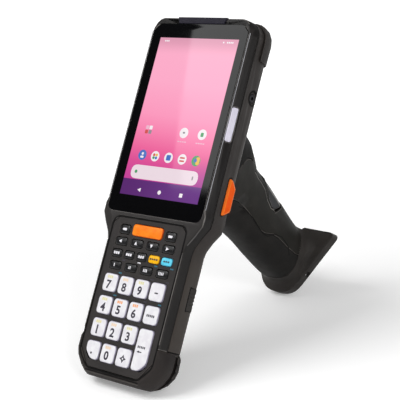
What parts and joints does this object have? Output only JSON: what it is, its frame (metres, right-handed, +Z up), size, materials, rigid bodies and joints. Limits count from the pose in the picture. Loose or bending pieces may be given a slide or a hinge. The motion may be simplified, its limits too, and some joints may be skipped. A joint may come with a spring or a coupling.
{
  "type": "barcode data terminal",
  "caption": "Rugged handheld barcode data terminal with a touch display, a full keypad, side scan keys, a removable battery and a pistol grip with trigger and flat foot.",
  "frame": {"origin": "on the table, under the middle of the whole object's box", "axes": "+X to the user's right, +Y away from the user who reads the display, +Z up; the terminal leans on its tail and the grip's heel"},
  "size_m": [0.0784, 0.185, 0.1872],
  "materials": {
    "housing": "fine-grained moulded ABS and polycarbonate",
    "bumper": "fine-textured overmoulded rubber",
    "grip": "fine-grained moulded plastic",
    "palm": "soft textured overmould",
    "bezel": "satin bluish grey",
    "screen_glass": "polished black-backed cover glass",
    "panel": "display module",
    "window": "polished dark red filter",
    "keypad": "fine-grained moulded plate",
    "key_black": "hard-coated silicone key",
    "key_white": "hard-coated silicone key",
    "key_orange": "hard-coated silicone key",
    "key_yellow": "hard-coated silicone key",
    "key_cyan": "hard-coated silicone key",
    "key_lavender": "satin moulded key",
    "rubber_sheet": "plain silicone sheet",
    "board": "green solder mask",
    "connector": "glass-filled connector body",
    "steel": "plain steel"
  },
  "bodies": {
    "terminal": {"front_housing": "housing", "rear_housing": "housing", "tail_bumper": "bumper", "scan_bezel": "bezel", "corner_guards": "bumper", "display_glass": "screen_glass", "display_panel": "panel", "keypad_plate": "keypad", "dome_sheet": "rubber_sheet", "main_board": "board", "scan_window": "window", "scan_engine": "connector", "dock_connector": "connector", "housing_screws": "steel", "grip_neck": "grip", "grip_shell_right": "grip", "grip_shell_left": "grip", "grip_palm": "palm", "grip_foot": "grip", "trigger_pin": "steel", "trigger_spring": "steel", "trigger_switch": "connector"},
    "battery_pack": {"battery_pack": "housing"},
    "battery_latch_right": {"battery_latch_right": "grip"},
    "battery_latch_left": {"battery_latch_left": "grip"},
    "scan_key_right": {"scan_key_right": "key_orange"},
    "scan_key_left": {"scan_key_left": "key_orange"},
    "power_key": {"power_key": "key_lavender"},
    "trigger": {"trigger": "grip"},
    "key_shift_left": {"key_shift_left": "key_black"},
    "key_scan": {"key_scan": "key_orange"},
    "key_shift_right": {"key_shift_right": "key_black"},
    "key_arrow_left": {"key_arrow_left": "key_black"},
    "key_arrow_up": {"key_arrow_up": "key_black"},
    "key_arrow_down": {"key_arrow_down": "key_black"},
    "key_arrow_right": {"key_arrow_right": "key_black"},
    "key_tab": {"key_tab": "key_black"},
    "key_escape": {"key_escape": "key_black"},
    "key_back": {"key_back": "key_black"},
    "key_yellow": {"key_yellow": "key_yellow"},
    "key_cyan": {"key_cyan": "key_cyan"},
    "key_f1": {"key_f1": "key_black"},
    "key_f2": {"key_f2": "key_black"},
    "key_f3": {"key_f3": "key_black"},
    "key_f4": {"key_f4": "key_black"},
    "key_7": {"key_7": "key_white"},
    "key_8": {"key_8": "key_white"},
    "key_9": {"key_9": "key_white"},
    "key_minus": {"key_minus": "key_white"},
    "key_4": {"key_4": "key_white"},
    "key_5": {"key_5": "key_white"},
    "key_6": {"key_6": "key_white"},
    "key_delete": {"key_delete": "key_white"},
    "key_1": {"key_1": "key_white"},
    "key_2": {"key_2": "key_white"},
    "key_3": {"key_3": "key_white"},
    "key_enter": {"key_enter": "key_white"},
    "key_point": {"key_point": "key_white"},
    "key_0": {"key_0": "key_white"},
    "key_menu": {"key_menu": "key_white"}
  },
  "joints": [
    {"name": "trigger_pull", "type": "hinge", "parent": "terminal", "child": "trigger", "pos_m": [0, 0.0281, 0.09148], "axis": [-1, 0, 0], "range_deg": [0, 8], "stiffness_Nm_per_rad": 1},
    {"name": "battery_remove", "type": "slide", "parent": "terminal", "child": "battery_pack", "axis": [0, 0.8615, -0.5077], "range_m": [0, 0.02]},
    {"name": "latch_right_press", "type": "slide", "parent": "terminal", "child": "battery_latch_right", "axis": [-1, 0, 0], "range_m": [0, 0.0012], "stiffness_N_per_m": 800},
    {"name": "latch_left_press", "type": "slide", "parent": "terminal", "child": "battery_latch_left", "axis": [1, 0, 0], "range_m": [0, 0.0012], "stiffness_N_per_m": 800},
    {"name": "scan_right_press", "type": "slide", "parent": "terminal", "child": "scan_key_right", "axis": [-1, 0, 0], "range_m": [0, 0.0006], "stiffness_N_per_m": 2000},
    {"name": "scan_left_press", "type": "slide", "parent": "terminal", "child": "scan_key_left", "axis": [1, 0, 0], "range_m": [0, 0.0006], "stiffness_N_per_m": 2000},
    {"name": "power_press", "type": "slide", "parent": "terminal", "child": "power_key", "axis": [-0.816, 0.498, -0.2935], "range_m": [0, 0.0003], "stiffness_N_per_m": 3000},
    {"name": "press_shift_left", "type": "slide", "parent": "terminal", "child": "key_shift_left", "axis": [0, 0.8615, -0.5077], "range_m": [0, 0.0006], "stiffness_N_per_m": 2000},
    {"name": "press_scan", "type": "slide", "parent": "terminal", "child": "key_scan", "axis": [0, 0.8615, -0.5077], "range_m": [0, 0.0006], "stiffness_N_per_m": 2000},
    {"name": "press_shift_right", "type": "slide", "parent": "terminal", "child": "key_shift_right", "axis": [0, 0.8615, -0.5077], "range_m": [0, 0.0006], "stiffness_N_per_m": 2000},
    {"name": "press_arrow_left", "type": "slide", "parent": "terminal", "child": "key_arrow_left", "axis": [0, 0.8615, -0.5077], "range_m": [0, 0.0006], "stiffness_N_per_m": 2000},
    {"name": "press_arrow_up", "type": "slide", "parent": "terminal", "child": "key_arrow_up", "axis": [0, 0.8615, -0.5077], "range_m": [0, 0.0006], "stiffness_N_per_m": 2000},
    {"name": "press_arrow_down", "type": "slide", "parent": "terminal", "child": "key_arrow_down", "axis": [0, 0.8615, -0.5077], "range_m": [0, 0.0006], "stiffness_N_per_m": 2000},
    {"name": "press_arrow_right", "type": "slide", "parent": "terminal", "child": "key_arrow_right", "axis": [0, 0.8615, -0.5077], "range_m": [0, 0.0006], "stiffness_N_per_m": 2000},
    {"name": "press_tab", "type": "slide", "parent": "terminal", "child": "key_tab", "axis": [0, 0.8615, -0.5077], "range_m": [0, 0.0006], "stiffness_N_per_m": 2000},
    {"name": "press_escape", "type": "slide", "parent": "terminal", "child": "key_escape", "axis": [0, 0.8615, -0.5077], "range_m": [0, 0.0006], "stiffness_N_per_m": 2000},
    {"name": "press_back", "type": "slide", "parent": "terminal", "child": "key_back", "axis": [0, 0.8615, -0.5077], "range_m": [0, 0.0006], "stiffness_N_per_m": 2000},
    {"name": "press_yellow", "type": "slide", "parent": "terminal", "child": "key_yellow", "axis": [0, 0.8615, -0.5077], "range_m": [0, 0.0006], "stiffness_N_per_m": 2000},
    {"name": "press_cyan", "type": "slide", "parent": "terminal", "child": "key_cyan", "axis": [0, 0.8615, -0.5077], "range_m": [0, 0.0006], "stiffness_N_per_m": 2000},
    {"name": "press_f1", "type": "slide", "parent": "terminal", "child": "key_f1", "axis": [0, 0.8615, -0.5077], "range_m": [0, 0.0006], "stiffness_N_per_m": 2000},
    {"name": "press_f2", "type": "slide", "parent": "terminal", "child": "key_f2", "axis": [0, 0.8615, -0.5077], "range_m": [0, 0.0006], "stiffness_N_per_m": 2000},
    {"name": "press_f3", "type": "slide", "parent": "terminal", "child": "key_f3", "axis": [0, 0.8615, -0.5077], "range_m": [0, 0.0006], "stiffness_N_per_m": 2000},
    {"name": "press_f4", "type": "slide", "parent": "terminal", "child": "key_f4", "axis": [0, 0.8615, -0.5077], "range_m": [0, 0.0006], "stiffness_N_per_m": 2000},
    {"name": "press_7", "type": "slide", "parent": "terminal", "child": "key_7", "axis": [0, 0.8615, -0.5077], "range_m": [0, 0.0006], "stiffness_N_per_m": 2000},
    {"name": "press_8", "type": "slide", "parent": "terminal", "child": "key_8", "axis": [0, 0.8615, -0.5077], "range_m": [0, 0.0006], "stiffness_N_per_m": 2000},
    {"name": "press_9", "type": "slide", "parent": "terminal", "child": "key_9", "axis": [0, 0.8615, -0.5077], "range_m": [0, 0.0006], "stiffness_N_per_m": 2000},
    {"name": "press_minus", "type": "slide", "parent": "terminal", "child": "key_minus", "axis": [0, 0.8615, -0.5077], "range_m": [0, 0.0006], "stiffness_N_per_m": 2000},
    {"name": "press_4", "type": "slide", "parent": "terminal", "child": "key_4", "axis": [0, 0.8615, -0.5077], "range_m": [0, 0.0006], "stiffness_N_per_m": 2000},
    {"name": "press_5", "type": "slide", "parent": "terminal", "child": "key_5", "axis": [0, 0.8615, -0.5077], "range_m": [0, 0.0006], "stiffness_N_per_m": 2000},
    {"name": "press_6", "type": "slide", "parent": "terminal", "child": "key_6", "axis": [0, 0.8615, -0.5077], "range_m": [0, 0.0006], "stiffness_N_per_m": 2000},
    {"name": "press_delete", "type": "slide", "parent": "terminal", "child": "key_delete", "axis": [0, 0.8615, -0.5077], "range_m": [0, 0.0006], "stiffness_N_per_m": 2000},
    {"name": "press_1", "type": "slide", "parent": "terminal", "child": "key_1", "axis": [0, 0.8615, -0.5077], "range_m": [0, 0.0006], "stiffness_N_per_m": 2000},
    {"name": "press_2", "type": "slide", "parent": "terminal", "child": "key_2", "axis": [0, 0.8615, -0.5077], "range_m": [0, 0.0006], "stiffness_N_per_m": 2000},
    {"name": "press_3", "type": "slide", "parent": "terminal", "child": "key_3", "axis": [0, 0.8615, -0.5077], "range_m": [0, 0.0006], "stiffness_N_per_m": 2000},
    {"name": "press_enter", "type": "slide", "parent": "terminal", "child": "key_enter", "axis": [0, 0.8615, -0.5077], "range_m": [0, 0.0006], "stiffness_N_per_m": 2000},
    {"name": "press_point", "type": "slide", "parent": "terminal", "child": "key_point", "axis": [0, 0.8615, -0.5077], "range_m": [0, 0.0006], "stiffness_N_per_m": 2000},
    {"name": "press_0", "type": "slide", "parent": "terminal", "child": "key_0", "axis": [0, 0.8615, -0.5077], "range_m": [0, 0.0006], "stiffness_N_per_m": 2000},
    {"name": "press_menu", "type": "slide", "parent": "terminal", "child": "key_menu", "axis": [0, 0.8615, -0.5077], "range_m": [0, 0.0006], "stiffness_N_per_m": 2000}
  ]
}
